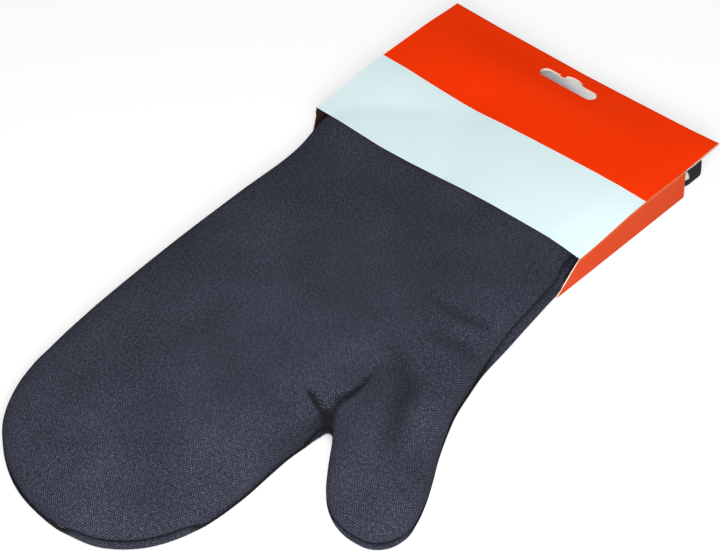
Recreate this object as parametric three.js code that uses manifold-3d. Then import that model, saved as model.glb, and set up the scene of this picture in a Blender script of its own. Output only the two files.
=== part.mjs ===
// Padded oven mitt lying palm up, with its cuff in a folded card sleeve.
// Millimetres. The origin is on the table, under the middle of the palm.
// +X points to the thumb, +Y to the cuff, +Z up.
// Each cloth layer is parted at the knuckles and at the thumb root, where the mitt folds.

import * as THREE from 'three';
import { mergeVertices } from 'three/addons/utils/BufferGeometryUtils.js';
import Module from 'manifold-3d';

const wasm = await Module();
wasm.setup();

// Outline of the mitt along its side seam
const cuffHalfWidth = 73.4;
const cuffReach = 173;
const fingerReach = 152.6;
const tipCentreReach = 90;
const thumbSpan = 120.2;
const thumbDrop = 79.8;

// Heights over the table and over the side seam
const seamHeight = 7.5;
const palmCrown = 12;
const tipCrown = 9;
const cuffCrown = 5.9;
const thumbCrown = 8.5;
const cuffLift = 0.85;

// Cloth layers, from outside in
const canvasThickness = 1;
const palmWadding = 3.8;
const tipWadding = 2.6;
const cuffWadding = 1.5;
const backWadding = 2.4;
const thumbWadding = 2.4;
const sideWadding = 3;
const liningThickness = 0.6;
const clothGap = 0.3;

// Lining rolled round the mouth of the cuff
const rimDepth = 2.4;
const rimRounding = 0.5;

// Flex lines: the knuckle line runs across, the thumb line from the crotch to the wrist
const knuckleReach = 52;
const crotchX = 62.5;
const crotchDrop = 44;
const thumbRootX = 83;
const thumbRootReach = 36;

// Hanging loop of tape, on edge in the side seam at the cuff's thumb side
const loopLength = 36;
const loopWidth = 10.6;
const loopTapeWidth = 8;
const loopTapeThickness = 1.4;
const loopHeight = 2;
const loopCornerRadius = 3;

// Card sleeve: how much of the cuff it covers, and how loosely
const cardThickness = 0.5;
const cardSideClearance = 1.1;
const cardTopClearance = 1.6;
const mouthCornerDrop = 3.5;
const cornerRiseLength = 44.5;
const frontCover = 73;
const backCover = 87.7;
const boxSetback = 1;
const headerReach = 22.8;
const headerFlapGap = 3;
const headerFoldHeight = 4;
const slotLength = 31.5;
const slotWidth = 6.5;
const slotBumpRadius = 4.6;
const slotOffset = 1.75;
const slotSetback = 8.4;

// The cuff's sides run straight from a little outside the sleeve
const cuffStraightLead = 6.6;

// Overrun of every cut and of the cuff past its trimmed end
const overrun = 12;
const bigCut = 400;

// Places of the sleeve, from the cuff that it wraps
const cardWidth = 2 * (cuffHalfWidth + cardSideClearance + cardThickness);
const cardHeight = seamHeight + cuffCrown + cardTopClearance + cardThickness;
const cardFrontStart = cuffReach - frontCover;
const cardBackStart = cuffReach - backCover;
const cardBoxEnd = cuffReach - boxSetback;
const headerEnd = cuffReach + headerReach;
const headerFlapEnd = cuffReach + headerFlapGap;
const slotStart = cuffReach + slotSetback;
const cuffStraightStart = cardFrontStart - cuffStraightLead;

// Points along the outline: across and along, as shares of the cuff's half width and of the
// reach towards the cuff or the fingertips
const handOutlineShares = [
  [-1, 1], [-1, 0.72], [-0.96, 0.566], [-0.892, 0.434], [-0.865, 0.277], [-0.865, 0.069],
  [-0.847, -0.144], [-0.817, -0.354], [-0.777, -0.544], [-0.715, -0.695], [-0.579, -0.826],
  [-0.409, -0.904], [-0.191, -0.965], [0.027, -0.991], [0.245, -1], [0.463, -0.979],
  [0.661, -0.898], [0.763, -0.803], [0.79, -0.682], [0.787, -0.59], [0.779, -0.472],
  [0.782, -0.38], [0.831, -0.288], [0.954, -0.183], [1.076, -0.066], [1.151, 0.046],
  [1.158, 0.145], [1.117, 0.243], [1.083, 0.347],
];
// The thumb: across as shares of its span, along as shares of its drop
const thumbOutlineShares = [
  [0.512, -0.555], [0.58, -0.64], [0.636, -0.76], [0.699, -0.871], [0.761, -0.95],
  [0.815, -0.992], [0.882, -1], [0.94, -0.969], [0.984, -0.896], [1, -0.796], [0.982, -0.689],
  [0.944, -0.545], [0.894, -0.407], [0.844, -0.276], [0.799, -0.138], [0.757, 0.013],
  [0.728, 0.157], [0.705, 0.32], [0.657, 0.526], [0.55, 0.627], [0.43, 0.55], [0.35, 0.35],
  [0.316, 0.1], [0.35, -0.175], [0.433, -0.414],
];
const thumbSpineRootShares = [0.5, 0.125];
const thumbSpineTipShares = [0.84, -0.76];

// Roundness of the padded edge: how far in and how high, from the seam to the crown
const handInShares = [0, 0.012, 0.05, 0.13, 0.3, 0.62];
const handPalmRiseShares = [0, 0.36, 0.66, 0.86, 0.965, 1];
const handBackRiseShares = [0, 0.42, 0.74, 0.93, 1, 1];
const thumbInShares = [0, 0.03, 0.12, 0.3, 0.55];
const thumbRiseShares = [0, 0.38, 0.7, 0.92, 1];
const archPower = 3.5;

// Counts
const sideStations = 19;
const tipSteps = 14;
const thumbSteps = 30;
const archSteps = 12;
const edgeSamples = 600;

// Where the sections change along the mitt
const bodyTop = cuffReach + overrun;
const stationPitch = (bodyTop + tipCentreReach) / (sideStations - 1);
const cuffFlatStart = cardFrontStart - stationPitch;
const cuffSwellShare = 0.3;
const liftEnd = cardBackStart - stationPitch;
const liftStartShare = 0.6;
const tipSwellShare = 0.2;

const smooth = (value, from, to) => THREE.MathUtils.smoothstep(value, from, to);

// A height that runs from the cuff's value through the palm's to the fingertips'
function along(y, cuffValue, palmValue, tipValue) {
  const toCuff = smooth(y, cuffFlatStart * cuffSwellShare, cuffFlatStart);
  const toTip = smooth(-y, fingerReach * tipSwellShare, fingerReach);
  return palmValue + (cuffValue - palmValue) * toCuff + (tipValue - palmValue) * toTip;
}

const liftAt = (y) => cuffLift * smooth(y, liftEnd * liftStartShare, liftEnd);

// The two faces of each part of the mitt: which way they bulge, how high, how much wadding
const handFaces = {
  palm: {
    up: 1,
    rise: (y) => along(y, cuffCrown, palmCrown, tipCrown),
    wadding: (y) => along(y, cuffWadding, palmWadding, tipWadding),
    riseShares: handPalmRiseShares,
  },
  back: {
    up: -1,
    rise: (y) => seamHeight - liftAt(y),
    wadding: (y) => along(y, cuffWadding, backWadding, backWadding),
    riseShares: handBackRiseShares,
  },
};
const thumbFaces = {
  palm: {
    up: 1, rise: () => thumbCrown, wadding: () => thumbWadding, riseShares: thumbRiseShares,
  },
  back: {
    up: -1, rise: () => seamHeight, wadding: () => thumbWadding, riseShares: thumbRiseShares,
  },
};

// The six nested surfaces that bound canvas, wadding and lining
const skinDepth = canvasThickness + clothGap;
const surfaces = {
  canvasOuter: { side: 0, depth: () => 0 },
  canvasInner: { side: canvasThickness, depth: () => canvasThickness },
  waddingOuter: { side: skinDepth, depth: () => skinDepth },
  waddingInner: { side: skinDepth + sideWadding, depth: (wad) => skinDepth + wad },
  liningOuter: {
    side: skinDepth + sideWadding + clothGap,
    depth: (wad) => skinDepth + wad + clothGap,
  },
  liningInner: {
    side: skinDepth + sideWadding + clothGap + liningThickness,
    depth: (wad) => skinDepth + wad + clothGap + liningThickness,
  },
};

function solidFromArrays(points, triangles) {
  const vertProperties = new Float32Array(points.flatMap((p) => [p.x, p.y, p.z]));
  const triVerts = new Uint32Array(triangles.flat());
  return new wasm.Manifold(new wasm.Mesh({ numProp: 3, vertProperties, triVerts }));
}

function solidFromGeometry(geometry) {
  const bare = geometry.clone();
  bare.deleteAttribute('normal');
  bare.deleteAttribute('uv');
  const merged = mergeVertices(bare);
  return new wasm.Manifold(new wasm.Mesh({
    numProp: 3,
    vertProperties: new Float32Array(merged.attributes.position.array),
    triVerts: new Uint32Array(merged.index.array),
  }));
}

function geometryFromSolid(solid) {
  const { vertProperties, triVerts } = solid.getMesh();
  const geometry = new THREE.BufferGeometry();
  geometry.setAttribute('position', new THREE.BufferAttribute(new Float32Array(vertProperties), 3));
  geometry.setIndex(new THREE.BufferAttribute(new Uint32Array(triVerts), 1));
  geometry.computeVertexNormals();
  return geometry;
}

function box(x0, x1, y0, y1, z0, z1) {
  const geometry = new THREE.BoxGeometry(x1 - x0, y1 - y0, z1 - z0);
  geometry.translate((x0 + x1) / 2, (y0 + y1) / 2, (z0 + z1) / 2);
  return solidFromGeometry(geometry);
}

// The hand's outline as a fine polyline from the cuff's left end round the fingertips to its right
function handEdge() {
  const points = handOutlineShares.map(([across, reach]) => new THREE.Vector2(
    across * cuffHalfWidth,
    reach * (reach > 0 ? cuffReach : fingerReach),
  ));
  points.unshift(new THREE.Vector2(-cuffHalfWidth, bodyTop));
  points.push(new THREE.Vector2(cuffHalfWidth, cuffStraightStart));
  points.push(new THREE.Vector2(cuffHalfWidth, (cuffStraightStart + bodyTop) / 2));
  points.push(new THREE.Vector2(cuffHalfWidth, bodyTop));
  return new THREE.SplineCurve(points).getPoints(edgeSamples);
}

// The point where a side of the outline passes a height along the mitt
function crossing(edge, y) {
  const next = edge.findIndex((p, i) => i > 0 && (p.y - y) * (edge[i - 1].y - y) <= 0);
  const a = edge[next - 1];
  const b = edge[next];
  const share = (y - a.y) / (b.y - a.y || 1);
  return new THREE.Vector2(a.x + (b.x - a.x) * share, y);
}

// The hand's outline at matching stations on both sides, and by equal angles round the tip
function handOutline() {
  const edge = handEdge();
  const lowest = edge.reduce((best, p, i) => (p.y < edge[best].y ? i : best), 0);
  const left = edge.slice(0, lowest + 1);
  const right = edge.slice(lowest).reverse();
  const stations = Array.from({ length: sideStations }, (_, i) => bodyTop - i * stationPitch);
  const leftSide = stations.map((y) => crossing(left, y));
  const rightSide = stations.map((y) => crossing(right, y)).reverse();
  const tip = [];
  for (let i = 1; i < tipSteps; i += 1) {
    const angle = Math.PI * (1 + i / tipSteps);
    const lined = (p) => Math.abs(Math.atan2(p.y + tipCentreReach, p.x) + 2 * Math.PI - angle);
    const below = edge.filter((p) => p.y < -tipCentreReach);
    tip.push(below.reduce((best, p) => (lined(p) < lined(best) ? p : best)).clone());
  }
  return [...leftSide, ...tip, ...rightSide];
}

function thumbPoint([across, reach]) {
  return new THREE.Vector2(across * thumbSpan, reach * thumbDrop);
}

function thumbOutline() {
  const points = thumbOutlineShares.map(thumbPoint).map((p) => new THREE.Vector3(p.x, p.y, 0));
  const curve = new THREE.CatmullRomCurve3(points, true, 'centripetal');
  return curve.getSpacedPoints(thumbSteps).slice(0, -1).map((p) => new THREE.Vector2(p.x, p.y));
}

// Moves an outline inwards; an open end keeps its line
function insetOutline(outline, distance, closed) {
  const count = outline.length;
  return outline.map((p, i) => {
    const before = closed || i > 0 ? outline[(i + count - 1) % count] : p;
    const after = closed || i < count - 1 ? outline[(i + 1) % count] : p;
    const run = after.clone().sub(before).normalize();
    return new THREE.Vector2(p.x - run.y * distance, p.y + run.x * distance);
  });
}

function handSpine(outline) {
  return outline.map((p) => new THREE.Vector2(0, Math.max(p.y, -tipCentreReach)));
}

function thumbSpine(outline) {
  const root = thumbPoint(thumbSpineRootShares);
  const tip = thumbPoint(thumbSpineTipShares);
  const run = tip.clone().sub(root);
  return outline.map((p) => {
    const share = THREE.MathUtils.clamp(p.clone().sub(root).dot(run) / run.lengthSq(), 0, 1);
    return root.clone().addScaledVector(run, share);
  });
}

// Triangles across the hand's outline: rungs between the sides, a fan over the fingertips
function handCap() {
  const last = 2 * sideStations + tipSteps - 2;
  const triangles = [];
  for (let i = 0; i < sideStations - 1; i += 1) {
    triangles.push([i, i + 1, last - i - 1], [i, last - i - 1, last - i]);
  }
  const corner = sideStations - 1;
  for (let i = corner + 1; i < last - corner; i += 1) {
    triangles.push([corner, i, i + 1]);
  }
  return triangles;
}

const flatCap = (ring) => THREE.ShapeUtils.triangulateShape(ring, []);

const hand = handOutline();
const thumb = thumbOutline();
const shapes = {
  hand: {
    outline: hand, spine: handSpine(hand), closed: false, inShares: handInShares,
    faces: handFaces, cap: handCap,
  },
  thumb: {
    outline: thumb, spine: thumbSpine(thumb), closed: true, inShares: thumbInShares,
    faces: thumbFaces, cap: flatCap,
  },
};

// One padded half of the hand or thumb, from the seam up or down to a surface
function dome(shape, faceName, surface, skirt) {
  const face = shape.faces[faceName];
  const foot = clothGap / 2;
  const outline = insetOutline(shape.outline, surface.side, shape.closed);
  const rings = shape.inShares.map((share, k) => outline.map((p, j) => {
    const at = p.clone().lerp(shape.spine[j], share);
    const crown = face.rise(at.y) - surface.depth(face.wadding(at.y));
    const height = foot + face.riseShares[k] * (crown - foot);
    return new THREE.Vector3(at.x, at.y, seamHeight + face.up * height);
  }));
  if (skirt > 0) {
    rings.unshift(outline.map((p) => new THREE.Vector3(p.x, p.y, seamHeight - face.up * skirt)));
  }
  const count = outline.length;
  const triangles = [];
  for (let k = 0; k < rings.length - 1; k += 1) {
    for (let j = 0; j < count; j += 1) {
      const a = k * count + j;
      const b = k * count + (j + 1) % count;
      triangles.push([a, b, b + count], [a, b + count, a + count]);
    }
  }
  const top = (rings.length - 1) * count;
  shape.cap(rings[0]).forEach(([a, b, c]) => triangles.push([c, b, a]));
  shape.cap(rings.at(-1)).forEach(([a, b, c]) => triangles.push([a + top, b + top, c + top]));
  const turned = face.up > 0 ? triangles : triangles.map(([a, b, c]) => [c, b, a]);
  return solidFromArrays(rings.flat(), turned);
}

function wholeDome(faceName, surface, skirt) {
  const handDome = dome(shapes.hand, faceName, surface, skirt);
  return handDome.add(dome(shapes.thumb, faceName, surface, skirt));
}

function layer(faceName, outer, inner) {
  const solid = wholeDome(faceName, surfaces[outer], 0);
  return solid.subtract(wholeDome(faceName, surfaces[inner], clothGap));
}

// Everything beyond the thumb's flex line, moved sideways by a margin
function beyondThumbLine(margin) {
  const run = new THREE.Vector2(thumbRootX - crotchX, thumbRootReach + crotchDrop);
  const geometry = new THREE.BoxGeometry(bigCut, bigCut, bigCut);
  geometry.translate(bigCut / 2 + margin, 0, 0);
  geometry.rotateZ(run.angle() - Math.PI / 2);
  geometry.translate(crotchX, -crotchDrop, 0);
  return solidFromGeometry(geometry);
}

const halfGap = clothGap / 2;
const fingerZone = box(-bigCut, crotchX, -bigCut, -knuckleReach - halfGap, -bigCut, bigCut);
const palmZone = box(-bigCut, bigCut, -knuckleReach + halfGap, cuffReach, -bigCut, bigCut)
  .subtract(beyondThumbLine(-halfGap));
const thumbZone = beyondThumbLine(halfGap).subtract(fingerZone);
const zones = { hand: palmZone, fingers: fingerZone, thumb: thumbZone };

const canvas = new THREE.MeshStandardMaterial({ color: '#3c3e4a', roughness: 0.95, metalness: 0 });
const wadding = new THREE.MeshStandardMaterial({ color: '#e4ded0', roughness: 1, metalness: 0 });
const lining = new THREE.MeshStandardMaterial({ color: '#ebe6da', roughness: 0.95, metalness: 0 });
const tape = new THREE.MeshStandardMaterial({ color: '#2c2d35', roughness: 0.9, metalness: 0 });
const card = new THREE.MeshStandardMaterial({ color: '#ef3a0c', roughness: 0.45, metalness: 0 });

const layers = {
  canvas: { outer: 'canvasOuter', inner: 'canvasInner', material: canvas },
  wadding: { outer: 'waddingOuter', inner: 'waddingInner', material: wadding },
  lining: { outer: 'liningOuter', inner: 'liningInner', material: lining },
};

const mitt = new THREE.Group();

function addPart(name, geometry, material) {
  const mesh = new THREE.Mesh(geometry, material.clone());
  mesh.name = name;
  mitt.add(mesh);
  return mesh;
}

Object.entries(layers).forEach(([layerName, { outer, inner, material }]) => {
  ['palm', 'back'].forEach((faceName) => {
    const whole = layer(faceName, outer, inner);
    Object.entries(zones).forEach(([zoneName, zone]) => {
      const name = `${zoneName}_${faceName}_${layerName}`;
      addPart(name, geometryFromSolid(whole.intersect(zone)), material);
    });
  });
});

// The cuff's oval section on one surface, as a closed outline in X and Z
function cuffSection(surface) {
  const quarter = (face, side) => handInShares.map((share, k) => {
    const crown = face.rise(cuffReach) - surface.depth(face.wadding(cuffReach));
    const across = (cuffHalfWidth - surface.side) * (1 - share);
    return new THREE.Vector2(side * across, seamHeight + face.up * face.riseShares[k] * crown);
  });
  return [
    ...quarter(handFaces.back, 1).reverse(),
    ...quarter(handFaces.palm, 1).slice(1),
    ...quarter(handFaces.palm, -1).reverse(),
    ...quarter(handFaces.back, -1).slice(1),
  ];
}

function cuffRim() {
  const shape = new THREE.Shape(cuffSection(surfaces.canvasOuter));
  shape.holes.push(new THREE.Path(cuffSection(surfaces.liningInner)));
  const geometry = new THREE.ExtrudeGeometry(shape, {
    depth: rimDepth - 2 * rimRounding,
    bevelThickness: rimRounding,
    bevelSize: rimRounding,
    bevelOffset: -rimRounding,
    bevelSegments: 2,
  });
  geometry.rotateX(Math.PI / 2);
  geometry.translate(0, cuffReach + clothGap + rimDepth - rimRounding, 0);
  return geometry;
}

addPart('cuff_rim', cuffRim(), lining);

// Plan of the loop from its sewn corner: a long eye with one square root end
function loopPath(target, inset) {
  const x1 = -inset;
  const y0 = inset;
  const x0 = inset - loopLength;
  const y1 = loopWidth - inset;
  const turn = (y1 - y0) / 2;
  const corner = loopCornerRadius - inset;
  target.moveTo(x0 + turn, y0);
  target.lineTo(x1 - corner, y0);
  target.absarc(x1 - corner, y0 + corner, corner, -Math.PI / 2, 0);
  target.lineTo(x1, y1 - corner);
  target.absarc(x1 - corner, y1 - corner, corner, 0, Math.PI / 2);
  target.lineTo(x0 + turn, y1);
  target.absarc(x0 + turn, y0 + turn, turn, Math.PI / 2, 1.5 * Math.PI);
  return target;
}

const loopRootX = cuffHalfWidth;
const loopRootY = cuffReach + clothGap + rimDepth + clothGap;

function hangingLoop() {
  const shape = loopPath(new THREE.Shape(), 0);
  shape.holes.push(loopPath(new THREE.Path(), loopTapeThickness));
  const geometry = new THREE.ExtrudeGeometry(shape, {
    depth: loopTapeWidth, bevelEnabled: false, curveSegments: 5,
  });
  geometry.translate(loopRootX, loopRootY, loopHeight);
  return geometry;
}

addPart('hanging_loop', hangingLoop(), tape);

// Height of the front panel's outer face
function frontHeight(x, y) {
  const settled = THREE.MathUtils.clamp((y - cardFrontStart) / cornerRiseLength, 0, 1);
  const drop = mouthCornerDrop * (1 - settled);
  return cardHeight - drop * Math.abs(x / (cardWidth / 2)) ** archPower;
}

// The sleeve's box: back panel, gussets and arched front panel, open at both ends
function cardBox() {
  const half = cardWidth / 2;
  const stations = [0, cornerRiseLength / 2, cornerRiseLength, cardBoxEnd - cardFrontStart];
  const rows = stations.map((step) => {
    const front = cardFrontStart + step;
    const back = cardBackStart + step * (cardBoxEnd - cardBackStart) / (cardBoxEnd - cardFrontStart);
    const loop = (inset) => {
      const side = half - inset;
      const points = [
        new THREE.Vector3(-side, back, inset),
        new THREE.Vector3(side, back, inset),
      ];
      for (let i = 0; i <= archSteps; i += 1) {
        const x = half - cardWidth * i / archSteps;
        const height = frontHeight(x, front) - inset;
        points.push(new THREE.Vector3(THREE.MathUtils.clamp(x, -side, side), front, height));
      }
      return points;
    };
    return { outer: loop(0), inner: loop(cardThickness) };
  });
  const count = rows[0].outer.length;
  const points = rows.flatMap((row) => [...row.outer, ...row.inner]);
  const index = (row, inner, i) => (2 * row + inner) * count + i % count;
  const triangles = [];
  const quad = (a, b, c, d) => triangles.push([a, b, c], [a, c, d]);
  for (let i = 0; i < count; i += 1) {
    for (let row = 0; row < rows.length - 1; row += 1) {
      quad(index(row, 0, i), index(row, 0, i + 1), index(row + 1, 0, i + 1), index(row + 1, 0, i));
      quad(index(row, 1, i + 1), index(row, 1, i), index(row + 1, 1, i), index(row + 1, 1, i + 1));
    }
    const end = rows.length - 1;
    quad(index(0, 0, i + 1), index(0, 0, i), index(0, 1, i), index(0, 1, i + 1));
    quad(index(end, 0, i), index(end, 0, i + 1), index(end, 1, i + 1), index(end, 1, i));
  }
  return solidFromArrays(points, triangles.map(([a, b, c]) => [c, b, a]));
}

// The header: the front panel runs on and folds back under itself
function cardHeader() {
  const radius = headerFoldHeight / 2;
  const foldY = headerEnd - radius;
  const foldZ = cardHeight - radius;
  const inner = radius - cardThickness;
  const profile = new THREE.Shape();
  profile.moveTo(cardBoxEnd - overrun, cardHeight - cardThickness);
  profile.lineTo(foldY, cardHeight - cardThickness);
  profile.absarc(foldY, foldZ, inner, Math.PI / 2, -Math.PI / 2, true);
  profile.lineTo(headerFlapEnd, foldZ - inner);
  profile.lineTo(headerFlapEnd, foldZ - radius);
  profile.lineTo(foldY, foldZ - radius);
  profile.absarc(foldY, foldZ, radius, -Math.PI / 2, Math.PI / 2, false);
  profile.lineTo(cardBoxEnd - overrun, cardHeight);
  const geometry = new THREE.ExtrudeGeometry(profile, {
    depth: cardWidth, bevelEnabled: false, curveSegments: 8,
  });
  geometry.rotateX(Math.PI / 2);
  geometry.rotateZ(Math.PI / 2);
  geometry.translate(-cardWidth / 2, 0, 0);
  return solidFromGeometry(geometry);
}

// Hang slot with its round bump, through both layers of the header
function hangSlot() {
  const end = slotWidth / 2;
  const run = slotLength / 2 - end;
  const slot = new THREE.Shape();
  slot.moveTo(-run, -end);
  slot.lineTo(run, -end);
  slot.absarc(run, 0, end, -Math.PI / 2, Math.PI / 2);
  slot.lineTo(slotBumpRadius, end);
  slot.absarc(0, end, slotBumpRadius, 0, Math.PI);
  slot.lineTo(-run, end);
  slot.absarc(-run, 0, end, Math.PI / 2, 1.5 * Math.PI);
  const geometry = new THREE.ExtrudeGeometry(slot, {
    depth: cardHeight + overrun, bevelEnabled: false, curveSegments: 8,
  });
  geometry.translate(-slotOffset, slotStart + end, 0);
  return solidFromGeometry(geometry);
}

addPart('card_sleeve', geometryFromSolid(cardBox().add(cardHeader()).subtract(hangSlot())), card);

export default mitt;
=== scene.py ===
import math

import bpy
import numpy as np
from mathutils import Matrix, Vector, geometry, kdtree, noise


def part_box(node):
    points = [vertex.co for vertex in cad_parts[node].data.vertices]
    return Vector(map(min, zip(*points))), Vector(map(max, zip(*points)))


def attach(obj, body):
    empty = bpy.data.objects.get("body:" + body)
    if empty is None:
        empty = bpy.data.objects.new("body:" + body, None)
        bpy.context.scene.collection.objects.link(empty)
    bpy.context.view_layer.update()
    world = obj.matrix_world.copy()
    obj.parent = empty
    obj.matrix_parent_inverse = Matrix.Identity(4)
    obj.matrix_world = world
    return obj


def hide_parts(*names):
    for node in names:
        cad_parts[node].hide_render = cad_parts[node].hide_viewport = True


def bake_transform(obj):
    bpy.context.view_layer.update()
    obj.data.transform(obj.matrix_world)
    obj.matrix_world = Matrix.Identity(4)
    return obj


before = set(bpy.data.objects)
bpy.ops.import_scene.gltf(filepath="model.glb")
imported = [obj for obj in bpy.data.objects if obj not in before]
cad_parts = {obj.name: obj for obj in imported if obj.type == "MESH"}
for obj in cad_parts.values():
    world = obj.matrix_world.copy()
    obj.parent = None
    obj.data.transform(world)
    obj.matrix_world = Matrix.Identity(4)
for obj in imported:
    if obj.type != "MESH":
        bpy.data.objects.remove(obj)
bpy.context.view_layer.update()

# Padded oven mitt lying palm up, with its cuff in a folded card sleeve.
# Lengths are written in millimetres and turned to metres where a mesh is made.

MM = 0.001
noise.seed_set(7)


# Sizes read from the frame, in millimetres
def frame_box(node):
    low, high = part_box(node)
    return np.array(low) / MM, np.array(high) / MM


cuff_reach = frame_box("hand_palm_canvas")[1][1]
card_low, card_high = frame_box("card_sleeve")
loop_low, loop_high = frame_box("hanging_loop")
rim_low, _ = frame_box("cuff_rim")

# The side seam's height over the table, in the hand and at the thumb's tip
seam_height = 7.5
thumb_seam_height = 5.6

# How far the palm side stands over the seam at its fullest
palm_crown = 12.0
tip_crown = 9.4
thumb_crown = 9.2
cuff_crown = 5.9

# How far the cuff's back stands off the table, and how far the card presses the cuff's front down
cuff_lift = 0.85
cuff_lift_change = (50.0, 85.0)
cuff_pressing = 2.0
pressing_change = (50.0, 96.0)
pressing_middle = -25.0
pressing_width = 34.0

# Thickness of the cloth layers and of the wadding between them
canvas_thickness = 1.0
lining_thickness = 0.6
cloth_gap = 0.3
palm_wadding = 3.8
palm_tip_wadding = 2.6
back_wadding = 2.4
thumb_wadding = 2.4
cuff_wadding = 1.5
side_wadding = 3.0
skin_depth = canvas_thickness + cloth_gap

# Flex lines: from the crotch to the thumb's root, and how far each bend spreads across its line
crotch = np.array([62.5, -44.0])
thumb_root = np.array([83.0, 36.0])
thumb_line = thumb_root - crotch
thumb_normal = np.array([thumb_line[1], -thumb_line[0]]) / np.linalg.norm(thumb_line)

# Outline of the mitt along its side, from the cuff's left end round the fingertips and the thumb
outline_points = [
    (-73.4, 190), (-73.4, 173), (-73.4, 124.6), (-70.5, 97.9), (-65.5, 75.1), (-63.6, 47.9),
    (-63.5, 11.9), (-62.2, -22), (-60, -54), (-57, -83), (-52.5, -106.1), (-42.5, -126),
    (-30, -138), (-14, -147.3), (2, -151.6), (18, -152.6), (34, -149.6), (47.5, -139),
    (55.5, -124.5), (58.6, -108), (59.3, -90), (58.3, -74), (57.7, -62), (58.3, -52),
    (59.4, -45.5), (60, -42.2), (61.9, -42.6), (65.2, -46), (70.3, -53.2), (76.4, -61.6),
    (83.4, -70.1), (90.9, -75.8), (98.6, -79.4), (107, -80.2), (114.8, -78.6), (120.4, -73),
    (122.2, -64.5), (119.6, -54.5), (115, -43.5), (109, -32.5), (102.8, -22), (97.2, -11),
    (91.9, 1), (88.4, 12.5), (85.2, 25), (83.2, 42), (80.8, 58), (78.6, 74), (76.6, 87),
    (72.6, 97), (72, 106), (73.2, 128), (73.4, 173), (73.4, 190),
]

# Places on it that other values refer to
fingertips = (42.0, -138.0)
thumb_tip = (111.0, -76.0)
notch = (60.6, -43.0)
notch_bend = (60.4, -42.4)
mouth_corner = (73.0, 101.0)

# Where the form changes along the mitt: towards the cuff, towards the tips, and from hand to thumb
cuff_taper = (25.0, 90.0)
tip_taper = (30.0, 150.0)
thumb_change = (-14.0, 30.0)
thumb_seam_change = (10.0, 50.0)
fingers_side = (60.0, 66.0)
fingers_start = (44.0, 56.0)

# Beside the wrist the back panel wraps up round the side: where, along and across, and where it eases
wrap_along = (14.0, 58.0)
wrap_across = (58.0, 68.0)
wrap_easing = 0.3
wrap_eases_along = (97.0, 116.0)

# Roundness of the padded edge: how far in it reaches, and how steeply it rises at the seam
palm_edge_reach = 42.0
back_edge_reach = 20.0
thumb_edge_reach = 24.0
edge_power = 0.37
edge_flatness = 4.0
ring_shares = (0.015, 0.06, 0.12, 0.19, 0.27, 0.36, 0.45, 0.54, 0.62, 0.7, 0.77, 0.83, 0.88)

# The seam draws both panels in: how far, and up to which height over and under it
seam_tuck = 2.0
seam_tuck_height = 2.4
back_bulge_height = 4.0
seam_inset_all_round = 0.4
seam_inset_at_wrist = 2.7

# The seam is sunk along the sides; it comes up again at these places: centre, and two radii
seam_sunk_share = 0.55
seam_sunk_until = (16.0, 44.0)
seam_in_sight = [(fingertips, 20, 32), (thumb_tip, 13, 22), (notch, 3, 12)]

# Creases and folds of the palm: points along each, its depth at each point, and its width
creases = [
    ([(44, -38.4), (47, -39.2), (50.5, -40), (54.6, -41), (58, -42.1), (60.4, -42.8)],
     [0, 1.4, 3, 4.2, 5, 5], 1.4),
    ([(62.4, -45), (61.2, -42), (59.2, -38.2), (59.3, -34), (60.3, -28), (60.6, -22.5), (60, -14), (59, -6)],
     [5, 5, 4.4, 3.2, 2.2, 1.6, 0.8, 0], 1.7),
    ([(64, -38), (65, -29), (65, -20.8), (63.5, -11.7), (61, -2)], [0, 1.5, 1.7, 1.1, 0], 5),
    ([(50, 14), (57, 2.5), (64, -2.5), (73.3, -8.9), (79.3, -20.7), (88.8, -35.8), (93, -44)],
     [0, 1.6, 2.4, 3.3, 3.2, 2, 0], 6),
    ([(44, 34), (52.4, 35.7), (62.7, 35.8), (73.8, 39.3), (78, 42)], [0, 1.5, 2.5, 1.7, 0], 3.4),
    ([(58, 18), (66.6, 19.3), (79.9, 23.9), (86.5, 21.9)], [0, 1.4, 1.7, 0], 4),
]

# Creases narrower than this are sharp; each pushes up a low, broad lip on both sides
sharp_width = 2.0
lip_share = 0.22
lip_spread = 7.0
crease_pitch = 0.8
crease_reach = 4.0

# The net is twice as fine this near a sharp crease; where a crease is shallow it counts as further off
refined_reach = 4.5
full_crease_depth = 2.4
shallow_offset = 0.8


def new_mesh(name, points, faces):
    """A mesh object from points in millimetres."""
    mesh = bpy.data.meshes.new(name)
    mesh.from_pydata([tuple(p) for p in np.asarray(points) * MM], [], faces)
    mesh.update()
    made = bpy.data.objects.new(name, mesh)
    bpy.context.scene.collection.objects.link(made)
    return made


def only(made):
    """Makes one object the selected and active one."""
    bpy.ops.object.select_all(action="DESELECT")
    made.select_set(True)
    bpy.context.view_layer.objects.active = made


def nearest_tree(points):
    """A search tree over points; those of a plan have no height and lie at 0."""
    tree = kdtree.KDTree(len(points))
    for i, p in enumerate(points):
        tree.insert((p[0], p[1], p[2] if len(p) > 2 else 0), i)
    tree.balance()
    return tree


def smoothstep(value, start, end):
    share = np.clip((value - start) / (end - start), 0, 1)
    return share * share * (3 - 2 * share)


def distance_to(place, x, y):
    return np.hypot(x - place[0], y - place[1])


def dimple(x, y, place, width, length):
    """1 at a place, fading out over a width along x and a length along y."""
    return np.exp(-((x - place[0]) / width) ** 2 - ((y - place[1]) / length) ** 2)


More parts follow.
